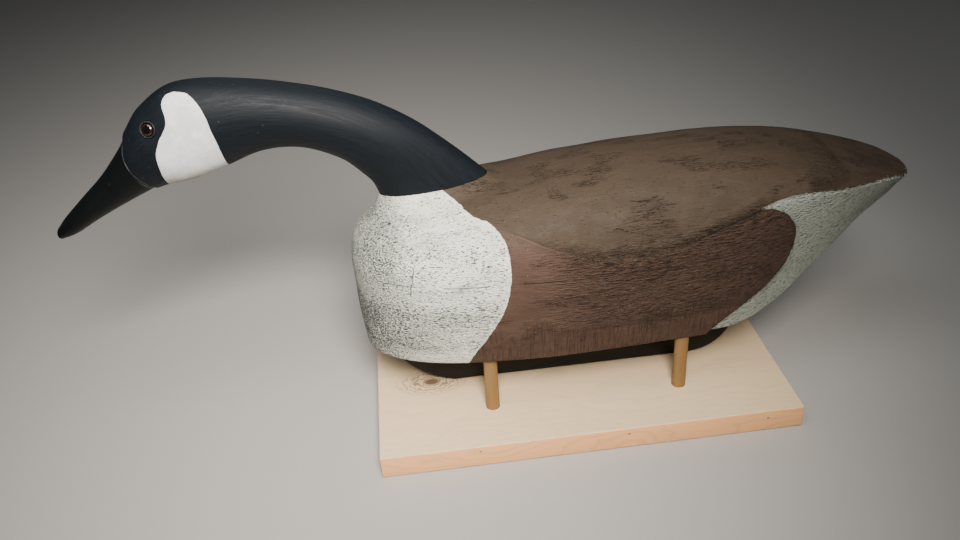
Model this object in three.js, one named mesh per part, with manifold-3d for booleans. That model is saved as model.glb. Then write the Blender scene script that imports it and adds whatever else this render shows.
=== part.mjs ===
// Hand-carved wooden goose decoy with an outstretched neck, on its display stand.
// Millimetres, +Z up. The bird faces -X and its left side faces -Y. The origin is the centre
// of the underside of the stand's board.
import * as THREE from 'three';
import { mergeVertices } from 'three/addons/utils/BufferGeometryUtils.js';
import Module from 'manifold-3d';

const wasm = await Module();
wasm.setup();

// ---------------------------------------------------------------- driving dimensions
const GAP = 0.3; // clearance between pieces that touch

const BOARD = { length: 387, depth: 225, thickness: 22.5 };
const DOWEL = { diameter: 12.7, seat: 15, frontX: -86, rearX: 92, sideY: 59.5 };

const UNDERSIDE_Z = 82.5; // flat underside of the body, on the dowel tops
const SEAM_Z = 170; // glue line between the two halves of the body
const BODY = {
  midX: -30, // fullest section of the body
  halfWidth: 84,
  frontLength: 169, // midX to the breast
  frontLengthLow: 166, // the breast leans out a little above its foot
  rearLength: 336, // midX to the tail tip
  widestZ: 160,
  floorRatio: 0.87, // underside width over greatest width
  breastPower: 2.6, // plan outline of the breast, as a superellipse
  deckPower: 2.3, // section of the back, as a superellipse
  breastTopPower: 0.72, // how full the top of the breast is, fuller as it falls
};
// Heights and ratios along the body: [x, value]
const DECK_Z = [[-200, 220], [-120, 226], [-60, 232], [0, 240], [60, 245], [112, 246],
  [180, 239], [240, 226], [285, 211.5], [306, 205.5]];
const WIDEST_Z = [[-30, 160], [60, 162], [120, 180], [170, 203], [220, 211], [270, 209.5],
  [306, 203]];
const FLOOR_Z = [[-30, 82.5], [130, 82.5], [155, 86.5], [185, 101], [220, 132], [240, 150],
  [260, 169], [290, 187], [306, 197]];
const FLOOR_RATIO = [[-30, 0.87], [60, 0.865], [110, 0.86], [150, 0.82], [180, 0.74], [220, 0.66],
  [260, 0.62], [306, 0.6]];
const TAIL_FLARE = { from: 90, over: 100 }; // where the rounded side turns into a straight flare

const WALL = 20; // thickness of the hollowed body's sides
const FLOOR = 20;
const DECK = 24;
const CAVITY = { frontX: -158, rearX: 150, roofUnderNeckZ: 200, roofRiseX: [-80, -30] };

const SEAT = { frontX: -168, frontZ: 226, heelX: -72, heelZ: 236, halfWidth: 18, power: 2.4 };
const SEAT_FAIRING = 16; // reach of the blend from the seat into the back around it
const PIVOT_X = (SEAT.frontX + SEAT.heelX) / 2;

// Head and neck: top line, bottom line and half width of each section, from bill to seat
const NECK = [
  { top: [-439.5, 225], bottom: [-436, 216], half: 9 },
  { top: [-431, 234], bottom: [-423, 220], half: 12.5 },
  { top: [-412, 251], bottom: [-402, 231], half: 14 },
  { top: [-392, 269], bottom: [-378, 242], half: 15 },
  { top: [-374, 290], bottom: [-355, 251], half: 18 },
  { top: [-362, 307], bottom: [-340, 256], half: 22 },
  { top: [-346, 325], bottom: [-318, 259], half: 25 },
  { top: [-316, 341], bottom: [-290, 267], half: 25.5 },
  { top: [-268, 339], bottom: [-256, 278], half: 23.5 },
  { top: [-214, 328], bottom: [-225, 277], half: 22.5 },
  { top: [-169, 312], bottom: [-196, 264], half: 22 },
  { top: [-133, 291], bottom: [-179, 248], half: 21 },
  { top: [-101, 264], bottom: [-171, 237], half: 19.5 },
  { top: [-60, 224], bottom: [-166, 222], half: 18 },
];

// Eye on the surface of the head, turned up by tilt and forward by toe, in degrees
const EYE = { x: -339.5, z: 311.8, surfaceY: 20, tilt: 19, toe: 17, diameter: 10, ringDiameter: 14 };

const KEEL = { width: 37, bottomZ: 25.5, frontX: -178, rearX: 162 };
const BALLAST = { length: 100, width: 20, depth: 24 };
const KEEL_SCREW = { xs: [-125, -65, 65, 125], shank: 4.6, head: 9.5, headZ: 52, tipZ: 98, recess: 11 };

const PIN = { diameter: 8, length: 30, frontX: -112, frontY: 69, rearX: 108, rearY: 66.5 };
const BOLT = { diameter: 9.5, above: 42, below: 40 };
const WASHER = { diameter: 26, hole: 10.4, thickness: 2 };
const SPRING_WASHER = { diameter: 18, hole: 10.4, thickness: 2.6 };
const NUT = { acrossFlats: 17, height: 8 };
const NUT_FACE = 25; // below the seat, along the bolt

// ---------------------------------------------------------------- colours
const colour = (hex, roughness, metalness = 0) =>
  new THREE.MeshStandardMaterial({ color: hex, roughness, metalness });
const FINISH = {
  pine: () => colour(0xd8c3a2, 0.7),
  birch: () => colour(0xc9a97c, 0.6),
  brown: () => colour(0x4a342b, 0.85),
  breast: () => colour(0xa9aba2, 0.85),
  black: () => colour(0x14171b, 0.45),
  keel: () => colour(0x0c0c0e, 0.55),
  glass: () => colour(0x2a160c, 0.08),
  putty: () => colour(0x3c3833, 0.6),
  lead: () => colour(0x55585c, 0.6, 0.8),
  brass: () => colour(0xb08d4a, 0.35, 1),
  steel: () => colour(0x9a9da1, 0.35, 1),
  hardwood: () => colour(0xb98f5f, 0.6),
};

// ---------------------------------------------------------------- helpers
const clamp = (value, low, high) => Math.min(Math.max(value, low), high);
const smoothstep = (value) => {
  const t = clamp(value, 0, 1);
  return t * t * (3 - 2 * t);
};

// Smooth curve through [x, value] pairs
function along(x, table) {
  const last = table.length - 1;
  if (x <= table[0][0]) return table[0][1];
  if (x >= table[last][0]) return table[last][1];
  const i = table.findIndex((pair) => pair[0] > x) - 1;
  const secant = (k) => (table[k + 1][1] - table[k][1]) / (table[k + 1][0] - table[k][0]);
  const slope = (k) => {
    if (k === 0 || k === last) return secant(Math.min(k, last - 1));
    const before = secant(k - 1);
    const after = secant(k);
    return before * after <= 0 ? 0 : (2 * before * after) / (before + after);
  };
  const step = table[i + 1][0] - table[i][0];
  const t = (x - table[i][0]) / step;
  const h = t * t * (3 - 2 * t);
  return table[i][1] * (1 - h) + table[i + 1][1] * h
    + slope(i) * step * t * (1 - t) * (1 - t) - slope(i + 1) * step * t * t * (1 - t);
}

// Skin over a list of closed rings, capped at both ends
function loft(rings) {
  const count = rings[0].length;
  const positions = [];
  const index = [];
  rings.forEach((ring) => ring.forEach((p) => positions.push(...p)));
  for (let i = 0; i < rings.length - 1; i += 1) {
    for (let j = 0; j < count; j += 1) {
      const a = i * count + j;
      const b = i * count + ((j + 1) % count);
      index.push(a, b, b + count, a, b + count, a + count);
    }
  }
  const cap = (ring, flip) => {
    const middle = positions.length / 3;
    const sum = rings[ring].reduce((s, p) => [s[0] + p[0], s[1] + p[1], s[2] + p[2]], [0, 0, 0]);
    positions.push(...sum.map((v) => v / count));
    for (let j = 0; j < count; j += 1) {
      const a = ring * count + j;
      const b = ring * count + ((j + 1) % count);
      index.push(...(flip ? [middle, b, a] : [middle, a, b]));
    }
  };
  cap(0, true);
  cap(rings.length - 1, false);
  const geometry = new THREE.BufferGeometry();
  geometry.setAttribute('position', new THREE.Float32BufferAttribute(positions, 3));
  geometry.setIndex(index);
  return geometry;
}

function toSolid(geometry) {
  const bare = geometry.clone();
  bare.deleteAttribute('normal');
  bare.deleteAttribute('uv');
  const merged = mergeVertices(bare, 1e-4);
  const mesh = new wasm.Mesh({
    numProp: 3,
    vertProperties: new Float32Array(merged.attributes.position.array),
    triVerts: new Uint32Array(merged.index.array),
  });
  mesh.merge();
  return new wasm.Manifold(mesh);
}

function toGeometry(solid) {
  const mesh = solid.getMesh();
  const geometry = new THREE.BufferGeometry();
  geometry.setAttribute('position', new THREE.Float32BufferAttribute(mesh.vertProperties, 3));
  geometry.setIndex(new THREE.BufferAttribute(new Uint32Array(mesh.triVerts), 1));
  return geometry;
}

function box(x0, x1, y0, y1, z0, z1) {
  const geometry = new THREE.BoxGeometry(x1 - x0, y1 - y0, z1 - z0);
  geometry.translate((x0 + x1) / 2, (y0 + y1) / 2, (z0 + z1) / 2);
  return geometry;
}

// Upright cylinder from z0 to z1
function post(diameter, z0, z1, sides = 24) {
  const geometry = new THREE.CylinderGeometry(diameter / 2, diameter / 2, z1 - z0, sides);
  geometry.rotateX(Math.PI / 2);
  geometry.translate(0, 0, (z0 + z1) / 2);
  return geometry;
}

const cutAway = (solid, geometries) =>
  geometries.reduce((rest, geometry) => rest.subtract(toSolid(geometry)), solid);

function mesh(name, geometry, material, place = [0, 0, 0]) {
  const piece = new THREE.Mesh(geometry, material);
  piece.name = name;
  piece.position.set(...place);
  return piece;
}

// ---------------------------------------------------------------- seat of the neck
const SEAT_SLOPE = (SEAT.heelZ - SEAT.frontZ) / (SEAT.heelX - SEAT.frontX);
const SEAT_TILT = -Math.atan(SEAT_SLOPE);
const seatZ = (x) => SEAT.frontZ + SEAT_SLOPE * (x - SEAT.frontX);

// Carries a geometry made along +Z from the pivot onto the tilted seat
function ontoSeat(geometry) {
  const placed = geometry.clone();
  placed.rotateY(SEAT_TILT);
  placed.translate(PIVOT_X, 0, seatZ(PIVOT_X));
  return placed;
}

// How far a point lies outside the outline of the neck's foot
function outsideSeat(x, y) {
  const halfLength = (SEAT.heelX - SEAT.frontX) / 2;
  const u = Math.abs(x - PIVOT_X) / halfLength;
  const v = Math.abs(y) / SEAT.halfWidth;
  const scale = (u ** SEAT.power + v ** SEAT.power) ** (1 / SEAT.power);
  const reach = Math.hypot(x - PIVOT_X, y);
  return scale <= 1 ? 0 : reach * (1 - 1 / scale);
}

// Lifts the back to the seat, and leaves the sides and the floor as they are
function raiseToSeat([x, y, z]) {
  if (z <= BODY.widestZ) return [x, y, z];
  const blend = (1 - clamp(outsideSeat(x, y) / SEAT_FAIRING, 0, 1)) ** 2;
  return [x, y, z + (seatZ(x) - z) * blend];
}

// ---------------------------------------------------------------- body
const STATIONS = { breast: 13, rear: 20 };
const SECTION = { floor: 3, side: 5, deck: 11 };

const breastScale = (t) => (1 - t ** BODY.breastPower) ** (1 / BODY.breastPower);
const rearScale = (t) => (1 - t ** 1.6) ** 0.32;

// Half section from the middle of the floor to the middle of the back
function halfSection({ low, x, half, floorHalf, floorZ, widestZ, deckZ, roundness }) {
  const points = [];
  for (let i = 0; i <= SECTION.floor; i += 1) {
    points.push([low, floorHalf * (i / SECTION.floor) * 0.96, floorZ]);
  }
  for (let i = 0; i < SECTION.side; i += 1) {
    const s = (i + 0.35) / SECTION.side;
    const y = floorHalf + (half - floorHalf) * (1 - (1 - s) ** roundness);
    points.push([low + (x - low) * (1 - (1 - s) ** 2), y, floorZ + (widestZ - floorZ) * s]);
  }
  for (let i = 0; i <= SECTION.deck; i += 1) {
    const a = (Math.PI / 2) * (i / SECTION.deck);
    const y = half * Math.abs(Math.cos(a)) ** (2 / BODY.deckPower);
    points.push([x, y, widestZ + (deckZ - widestZ) * Math.sin(a) ** (2 / BODY.deckPower)]);
  }
  return points;
}

const wholeRing = (half) => [
  ...half,
  ...half.slice(1, -1).reverse().map(([x, y, z]) => [x, -y, z]),
];

function breastSection(t) {
  const scale = breastScale(t);
  const x = BODY.midX - BODY.frontLength * t;
  return halfSection({
    low: BODY.midX - BODY.frontLengthLow * t,
    x,
    half: BODY.halfWidth * scale,
    floorHalf: BODY.halfWidth * BODY.floorRatio * scale,
    floorZ: UNDERSIDE_Z,
    widestZ: BODY.widestZ,
    deckZ: BODY.widestZ + (along(x, DECK_Z) - BODY.widestZ) * scale ** BODY.breastTopPower,
    roundness: 2,
  });
}

function rearSection(x) {
  const half = BODY.halfWidth * rearScale((x - BODY.midX) / BODY.rearLength);
  return halfSection({
    low: x,
    x,
    half,
    floorHalf: half * along(x, FLOOR_RATIO),
    floorZ: along(x, FLOOR_Z),
    widestZ: along(x, WIDEST_Z),
    deckZ: along(x, DECK_Z),
    roundness: 2 - clamp((x - TAIL_FLARE.from) / TAIL_FLARE.over, 0, 1),
  });
}

function bodySolid() {
  const rings = [];
  for (let i = STATIONS.breast; i > 0; i -= 1) {
    rings.push(breastSection(0.9995 * Math.sin((Math.PI / 2) * (i / STATIONS.breast))));
  }
  for (let i = 0; i <= STATIONS.rear; i += 1) {
    const t = 0.9995 * Math.sin((Math.PI / 2) * (i / STATIONS.rear));
    rings.push(rearSection(BODY.midX + BODY.rearLength * t));
  }
  return toSolid(loft(rings.map((ring) => wholeRing(ring.map(raiseToSeat)))));
}

// Hollow inside the body, deeper under the back than under the neck's seat
function cavitySolid() {
  const rings = [];
  const stations = 14;
  const sides = 16;
  const middle = (CAVITY.frontX + CAVITY.rearX) / 2;
  const reach = (CAVITY.rearX - CAVITY.frontX) / 2;
  for (let i = 0; i <= stations; i += 1) {
    const u = -Math.cos((Math.PI * i) / stations) * 0.995;
    const x = middle + reach * u;
    const round = (1 - Math.abs(u) ** 3) ** (1 / 3);
    const outer = x < BODY.midX
      ? breastScale((BODY.midX - x) / BODY.frontLength)
      : rearScale((x - BODY.midX) / BODY.rearLength);
    const half = (BODY.halfWidth * outer - WALL) * round;
    const rise = smoothstep((x - CAVITY.roofRiseX[0]) / (CAVITY.roofRiseX[1] - CAVITY.roofRiseX[0]));
    const roof = CAVITY.roofUnderNeckZ
      + (along(x, DECK_Z) - DECK - CAVITY.roofUnderNeckZ) * rise;
    const floor = along(x, FLOOR_Z) + FLOOR;
    const mid = (roof + floor) / 2;
    const ring = [];
    for (let j = 0; j < sides; j += 1) {
      const a = (2 * Math.PI * (j + 0.5)) / sides;
      const c = Math.cos(a);
      const s = Math.sin(a);
      ring.push([
        x,
        half * Math.sign(c) * Math.abs(c) ** 0.6,
        mid + ((roof - floor) / 2) * Math.max(round, 0.35) * Math.sign(s) * Math.abs(s) ** 0.6,
      ]);
    }
    rings.push(ring);
  }
  return toSolid(loft(rings));
}

const pinPlaces = [
  ['front_left', PIN.frontX, -PIN.frontY],
  ['front_right', PIN.frontX, PIN.frontY],
  ['rear_left', PIN.rearX, -PIN.rearY],
  ['rear_right', PIN.rearX, PIN.rearY],
];

function pinHoles() {
  return pinPlaces.map(([, x, y]) => {
    const half = PIN.length / 2 + GAP;
    return post(PIN.diameter + 2 * GAP, SEAM_Z - half, SEAM_Z + half).translate(x, y, 0);
  });
}

function screwHoles() {
  return KEEL_SCREW.xs.map((x) =>
    post(KEEL_SCREW.shank + 2 * GAP, KEEL.bottomZ + 1, KEEL_SCREW.tipZ + 1, 16).translate(x, 0, 0));
}

const WIDE = 600;
const outerBody = bodySolid();
const hollow = cavitySolid();
const aboveSeam = toSolid(box(-WIDE, WIDE, -WIDE, WIDE, SEAM_Z + GAP / 2, WIDE));
const belowSeam = toSolid(box(-WIDE, WIDE, -WIDE, WIDE, 0, SEAM_Z - GAP / 2));
const upperHalf = cutAway(outerBody.intersect(aboveSeam).subtract(hollow), [
  ...pinHoles(),
  ontoSeat(post(BOLT.diameter + 2 * GAP, -60, 20)),
  ontoSeat(post(WASHER.diameter + 4, -60, -NUT_FACE)),
]);
const lowerHalf = cutAway(outerBody.intersect(belowSeam).subtract(hollow), [
  ...pinHoles(),
  ...screwHoles(),
]);

const decoy = new THREE.Group();
decoy.add(mesh('body_upper', toGeometry(upperHalf), FINISH.brown()));
decoy.add(mesh('body_lower', toGeometry(lowerHalf), FINISH.brown()));
pinPlaces.forEach(([corner, x, y]) => {
  const half = PIN.length / 2;
  decoy.add(mesh(`body_pin_${corner}`, post(PIN.diameter, -half, half, 16), FINISH.hardwood(),
    [x, y, SEAM_Z]));
});

// ---------------------------------------------------------------- keel, ballast and screws
function keelGeometry() {
  const top = UNDERSIDE_Z - GAP;
  const outline = new THREE.Shape();
  outline.moveTo(KEEL.frontX, top);
  outline.quadraticCurveTo(KEEL.frontX + 10, KEEL.bottomZ + 16, KEEL.frontX + 60, KEEL.bottomZ);
  outline.lineTo(KEEL.rearX - 47, KEEL.bottomZ);
  outline.quadraticCurveTo(KEEL.rearX - 4, KEEL.bottomZ + 4, KEEL.rearX, top);
  const geometry = new THREE.ExtrudeGeometry(outline, {
    depth: KEEL.width, bevelEnabled: false, curveSegments: 8,
  });
  geometry.rotateX(Math.PI / 2);
  geometry.translate(0, KEEL.width / 2, 0);
  return geometry;
}

const ballastTop = UNDERSIDE_Z - 2 * GAP;
const ballastPocket = box(
  -BALLAST.length / 2 - GAP, BALLAST.length / 2 + GAP,
  -BALLAST.width / 2 - GAP, BALLAST.width / 2 + GAP,
  ballastTop - BALLAST.depth - GAP, UNDERSIDE_Z + 1,
);
const screwRecesses = KEEL_SCREW.xs.map((x) =>
  post(KEEL_SCREW.recess, 0, KEEL_SCREW.headZ, 20).translate(x, 0, 0));
const keelSolid = cutAway(toSolid(keelGeometry()), [
  ballastPocket,
  ...screwHoles(),
  ...screwRecesses,
]);
decoy.add(mesh('keel', toGeometry(keelSolid), FINISH.keel()));
decoy.add(mesh('keel_ballast',
  box(-BALLAST.length / 2, BALLAST.length / 2, -BALLAST.width / 2, BALLAST.width / 2,
    ballastTop - BALLAST.depth, ballastTop), FINISH.lead()));

function screwGeometry() {
  const shank = KEEL_SCREW.shank / 2;
  const head = KEEL_SCREW.head / 2;
  const profile = [
    [0, -2.6], [head, -2.6], [head, -GAP], [shank, -GAP],
    [shank, KEEL_SCREW.tipZ - KEEL_SCREW.headZ - 8], [0, KEEL_SCREW.tipZ - KEEL_SCREW.headZ],
  ].map(([r, z]) => new THREE.Vector2(r, z));
  return new THREE.LatheGeometry(profile, 16).rotateX(Math.PI / 2);
}
KEEL_SCREW.xs.forEach((x, i) => {
  decoy.add(mesh(`keel_screw_${i + 1}`, screwGeometry(), FINISH.brass(), [x, 0, KEEL_SCREW.headZ]));
});

// ---------------------------------------------------------------- head and neck
const NECK_STATIONS = 42;
const NECK_SIDES = 22;

function neckRings() {
  const topLine = new THREE.CatmullRomCurve3(
    NECK.map((s) => new THREE.Vector3(s.top[0], s.half, s.top[1])), false, 'catmullrom', 0.5);
  const bottomLine = new THREE.CatmullRomCurve3(
    NECK.map((s) => new THREE.Vector3(s.bottom[0], s.half, s.bottom[1])), false, 'catmullrom', 0.5);
  const rings = [];
  for (let i = 0; i <= NECK_STATIONS; i += 1) {
    const top = topLine.getPoint(i / NECK_STATIONS);
    const bottom = bottomLine.getPoint(i / NECK_STATIONS);
    const ring = [];
    for (let j = 0; j < NECK_SIDES; j += 1) {
      const a = (2 * Math.PI * j) / NECK_SIDES;
      const c = Math.cos(a);
      ring.push([
        (top.x + bottom.x) / 2 + ((top.x - bottom.x) / 2) * c,
        top.y * Math.sin(a),
        (top.z + bottom.z) / 2 + ((top.z - bottom.z) / 2) * c,
      ]);
    }
    rings.push(ring.reverse());
  }
  return rings;
}

// Carries a geometry made along +Z from the eye's surface onto one side of the head
function ontoEye(geometry, side) {
  const placed = geometry.clone();
  placed.rotateX(side * -(Math.PI / 2 - THREE.MathUtils.degToRad(EYE.tilt)));
  placed.rotateZ(side * THREE.MathUtils.degToRad(EYE.toe));
  placed.translate(EYE.x, side * EYE.surfaceY, EYE.z);
  return placed;
}

const seatCut = box(-WIDE, WIDE, -WIDE, WIDE, -WIDE, GAP);
const eyeSockets = [-1, 1].flatMap((side) => [
  ontoEye(post(EYE.ringDiameter + 2 * GAP, -2.4, 12, 20), side),
  ontoEye(post(EYE.diameter + 2 * GAP, -6, 0, 20), side),
]);
const headSolid = cutAway(toSolid(loft(neckRings())), [
  ontoSeat(seatCut),
  ontoSeat(post(BOLT.diameter + 2 * GAP, -60, BOLT.above + GAP)),
  ...eyeSockets,
]);

const head = new THREE.Group();
head.add(mesh('head_and_neck', toGeometry(headSolid), FINISH.black()));

function eyeGeometry() {
  const r = EYE.diameter / 2;
  const profile = [new THREE.Vector2(0, -5.5), new THREE.Vector2(r, -5.5)];
  const steps = 6;
  for (let i = 0; i <= steps; i += 1) {
    const a = (Math.PI / 2) * (i / steps);
    profile.push(new THREE.Vector2(r * Math.cos(a), -0.6 + 2.4 * Math.sin(a)));
  }
  return new THREE.LatheGeometry(profile, 20).rotateX(Math.PI / 2);
}

function eyeRingGeometry() {
  const inner = EYE.diameter / 2 + GAP;
  const outer = EYE.ringDiameter / 2;
  const profile = [[inner, -2.1], [outer, -2.1], [outer, -0.4], [(inner + outer) / 2, 0.5],
    [inner, -0.2], [inner, -2.1]].map(([r, z]) => new THREE.Vector2(r, z));
  return new THREE.LatheGeometry(profile, 20).rotateX(Math.PI / 2);
}

[['left', -1], ['right', 1]].forEach(([name, side]) => {
  head.add(mesh(`eye_${name}`, ontoEye(eyeGeometry(), side), FINISH.glass()));
  head.add(mesh(`eye_putty_${name}`, ontoEye(eyeRingGeometry(), side), FINISH.putty()));
});

// Bolt fixed in the neck, with its washers and nut inside the hollow body
const boltGroup = new THREE.Group();
boltGroup.position.set(PIVOT_X, 0, seatZ(PIVOT_X));
boltGroup.rotation.y = SEAT_TILT;

function ring(outer, hole, z0, z1) {
  const profile = [[hole / 2, z0], [outer / 2, z0], [outer / 2, z1], [hole / 2, z1], [hole / 2, z0]]
    .map(([r, z]) => new THREE.Vector2(r, z));
  return new THREE.LatheGeometry(profile, 24).rotateX(Math.PI / 2);
}

const washerZ = -NUT_FACE - GAP;
const springZ = washerZ - WASHER.thickness - GAP;
const nutZ = springZ - SPRING_WASHER.thickness - GAP;
const nutBlank = new THREE.CylinderGeometry(
  NUT.acrossFlats / Math.sqrt(3), NUT.acrossFlats / Math.sqrt(3), NUT.height, 6);
nutBlank.rotateX(Math.PI / 2).translate(0, 0, nutZ - NUT.height / 2);
const nutSolid = cutAway(toSolid(nutBlank), [post(BOLT.diameter + 2 * GAP, -80, 0)]);
boltGroup.add(mesh('neck_bolt', post(BOLT.diameter, -BOLT.below, BOLT.above), FINISH.steel()));
boltGroup.add(mesh('neck_washer',
  ring(WASHER.diameter, WASHER.hole, washerZ - WASHER.thickness, washerZ), FINISH.steel()));
boltGroup.add(mesh('neck_spring_washer',
  ring(SPRING_WASHER.diameter, SPRING_WASHER.hole, springZ - SPRING_WASHER.thickness, springZ),
  FINISH.steel()));
boltGroup.add(mesh('neck_nut', toGeometry(nutSolid), FINISH.steel()));
head.add(boltGroup);

// ---------------------------------------------------------------- display stand
const dowelPlaces = [
  ['front_left', DOWEL.frontX, -DOWEL.sideY],
  ['front_right', DOWEL.frontX, DOWEL.sideY],
  ['rear_left', DOWEL.rearX, -DOWEL.sideY],
  ['rear_right', DOWEL.rearX, DOWEL.sideY],
];
const dowelHoles = dowelPlaces.map(([, x, y]) =>
  post(DOWEL.diameter + 2 * GAP, BOARD.thickness - DOWEL.seat, BOARD.thickness + 5).translate(x, y, 0));
const boardBlank = box(-BOARD.length / 2, BOARD.length / 2, -BOARD.depth / 2, BOARD.depth / 2,
  0, BOARD.thickness);

const stand = new THREE.Group();
stand.add(mesh('stand_board', toGeometry(cutAway(toSolid(boardBlank), dowelHoles)), FINISH.pine()));
dowelPlaces.forEach(([corner, x, y]) => {
  const foot = BOARD.thickness - DOWEL.seat + GAP;
  stand.add(mesh(`stand_dowel_${corner}`, post(DOWEL.diameter, foot, UNDERSIDE_Z - GAP),
    FINISH.birch(), [x, y, 0]));
});

const model = new THREE.Group();
model.add(stand, decoy, head);
export default model;
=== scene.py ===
"""Hand-carved wooden goose decoy on its display stand: the visual model, around the CAD frame.

Sizes are in millimetres and turned into metres where a mesh is made. The bird faces -X and its
left side faces -Y.
"""
import functools
import itertools
import math

import bmesh
import bpy
import numpy as np
from mathutils import Matrix, Vector


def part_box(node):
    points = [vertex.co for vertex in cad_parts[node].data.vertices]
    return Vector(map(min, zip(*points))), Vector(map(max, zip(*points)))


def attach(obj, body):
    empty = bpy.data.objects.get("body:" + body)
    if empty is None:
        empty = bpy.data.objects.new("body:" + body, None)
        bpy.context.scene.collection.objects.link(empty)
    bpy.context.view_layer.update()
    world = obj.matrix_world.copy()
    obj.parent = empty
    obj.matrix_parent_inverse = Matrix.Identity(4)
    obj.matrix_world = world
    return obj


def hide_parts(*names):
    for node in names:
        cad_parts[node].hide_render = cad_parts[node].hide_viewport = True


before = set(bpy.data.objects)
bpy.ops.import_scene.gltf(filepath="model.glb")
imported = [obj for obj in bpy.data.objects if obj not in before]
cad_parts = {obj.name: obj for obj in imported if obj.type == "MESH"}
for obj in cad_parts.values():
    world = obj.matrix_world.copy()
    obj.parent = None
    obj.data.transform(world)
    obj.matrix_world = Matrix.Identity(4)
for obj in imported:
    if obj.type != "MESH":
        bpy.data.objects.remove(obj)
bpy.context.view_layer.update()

MM = 0.001
CLEARANCE = 0.3  # round pins, screws, bolt, ballast and dowels
FAR = 600  # past every side of the object

# ---------------- driving dimensions
UNDERSIDE_Z = 82.5
SEAM_Z = 170
BODY_MID_X = -30
BODY_HALF_WIDTH = 84
BREAST_LENGTH = 169
BREAST_LENGTH_LOW = 166
REAR_LENGTH = 336
WIDEST_Z = 160
BREAST_POWER = 2.6
DECK_POWER = 2.3
BREAST_TOP_POWER = 0.72
EDGE_RADIUS = 3.5  # eased lower edge of the body
SKIN_STEP = 1.4  # mesh spacing on the body

# Heights and ratios along the body: (x, value)
DECK_LINE = [(-200, 220), (-120, 226), (-60, 232), (0, 240), (60, 245), (112, 246),
             (180, 239), (240, 226), (285, 211.5), (306, 205.5)]
WIDEST_LINE = [(-30, 160), (60, 162), (120, 180), (170, 203), (220, 211), (270, 209.5),
               (306, 203)]
FLOOR_LINE = [(-30, 82.5), (130, 82.5), (155, 86.5), (185, 101), (220, 132), (240, 150),
              (260, 169), (290, 187), (306, 197)]
FLOOR_RATIO = [(-30, 0.87), (60, 0.865), (110, 0.86), (150, 0.82), (180, 0.74), (220, 0.66),
               (260, 0.62), (306, 0.6)]
TAIL_FLARE_FROM = 90
TAIL_FLARE_OVER = 100

WALL = 20
FLOOR = 20
DECK = 24
CAVITY_FRONT_X = -158
CAVITY_REAR_X = 150
ROOF_UNDER_NECK_Z = 200
ROOF_RISE_X = (-80, -30)

SEAT_FRONT = (-168, 226)  # x, z of the neck's foot at the breast
SEAT_HEEL = (-72, 236)
SEAT_HALF_WIDTH = 18
SEAT_POWER = 2.4
SEAT_FAIRING = 16  # reach of the blend from the seat into the back around it

# Paint and relief lines on one side, as (x, z); the other side is its mirror image
BREAST_EDGE = [(-114, 232), (-104, 225), (-92, 219), (-77, 215), (-69, 206), (-66, 196),
               (-65, 181), (-68, 160), (-74, 141), (-85, 120), (-98, 99), (-108, 80)]
WING_LINE = [(-71, 212), (-53, 207), (-33, 199), (-11, 191), (11, 185), (30, 182.5), (54, 182),
             (77, 184), (103, 194), (125, 201), (139, 205.5), (148, 209)]
FLANK_LOBE = [(148, 209), (158, 208.5), (169, 203.5), (178, 194), (184, 183), (185.5, 165.5),
              (181, 146), (168, 129), (151, 115), (133, 102), (120, 91), (110, 80)]
TAIL_EDGE = [(148, 209), (163, 214), (181, 216.5), (200, 216), (222, 214), (246, 213.5),
             (270, 212), (290, 207.5), (308, 203.5)]
LEDGE_HEIGHT = 2.6  # how proud the flank stands at the wing line
TAIL_DROP = 1.1  # how far the white stern lies below the back

# Head and neck: top (x, z), bottom (x, z) and half width, from bill to seat
NECK = [
    ((-439.5, 225), (-436, 216), 9), ((-431, 234), (-423, 220), 12.5),
    ((-412, 251), (-402, 231), 14), ((-392, 269), (-378, 242), 15),
    ((-374, 290), (-355, 251), 18), ((-362, 307), (-340, 256), 22),
    ((-346, 325), (-318, 259), 25), ((-316, 341), (-290, 267), 25.5),
    ((-268, 339), (-256, 278), 23.5), ((-214, 328), (-225, 277), 22.5),
    ((-169, 312), (-196, 264), 22), ((-133, 291), (-179, 248), 21),
    ((-101, 264), (-171, 237), 19.5), ((-60, 224), (-166, 222), 18),
]
NECK_STEP = 1.1
NECK_SIDES = 128
BILL_TIP_ROUNDING = 2.5
CHEEK_FRONT = [(-314, 337.5), (-321, 335.5), (-325, 330), (-323.5, 320), (-325.5, 312),
               (-333, 301), (-337, 290), (-337.5, 276), (-337, 262), (-337, 246)]
CHEEK_REAR = [(-314, 337.5), (-304, 335.5), (-298, 330), (-293, 320), (-289.5, 304),
              (-287, 288), (-286, 271), (-286, 255)]
BILL_BASE = [(-368, 312), (-365.5, 299), (-366, 288), (-362.5, 277), (-357, 268),
             (-351, 259), (-346, 250)]
BILL_GROOVE = 0.7
BILL_STEP = 1.9
EYE_PLACE = (-339.5, 20, 311.8)
EYE_TILT = 19
EYE_TOE = 17
EYE_DIAMETER = 10
EYE_RING_DIAMETER = 14
EYE_HOLLOW = 0.9  # shallow dip of the wood around the eye

KEEL_EDGE_RADIUS = 2.2
BOARD_EDGE_RADIUS = 1.0
DOWEL_CHAMFER = 0.8
DOWEL_WAVER = 0.06
CHIP_X = (-44, -22)  # sliver missing from the board's front top edge
CHIP_SIZE = 1.6
SCREW_HOLE_RADIUS = 2.6
SCREW_HEAD_HEIGHT = 2.6
SCREW_RECESS = 11
BOLT_HOLE = (-60, 42.3)  # below and above the neck's seat, along the bolt
NUT_POCKET_DIAMETER = 30
NUT_FACE = 25

# The camera stands where the photograph's did, worked out from the board's corners
CAMERA_PLACE = (-0.1368, -0.6848, 0.5683)
CAMERA_RIGHT = (0.9918, -0.1127, -0.0593)
CAMERA_AHEAD = (0.0641, 0.8440, -0.5326)
CAMERA_LENS = 32.79
CAMERA_SENSOR = 36

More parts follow.
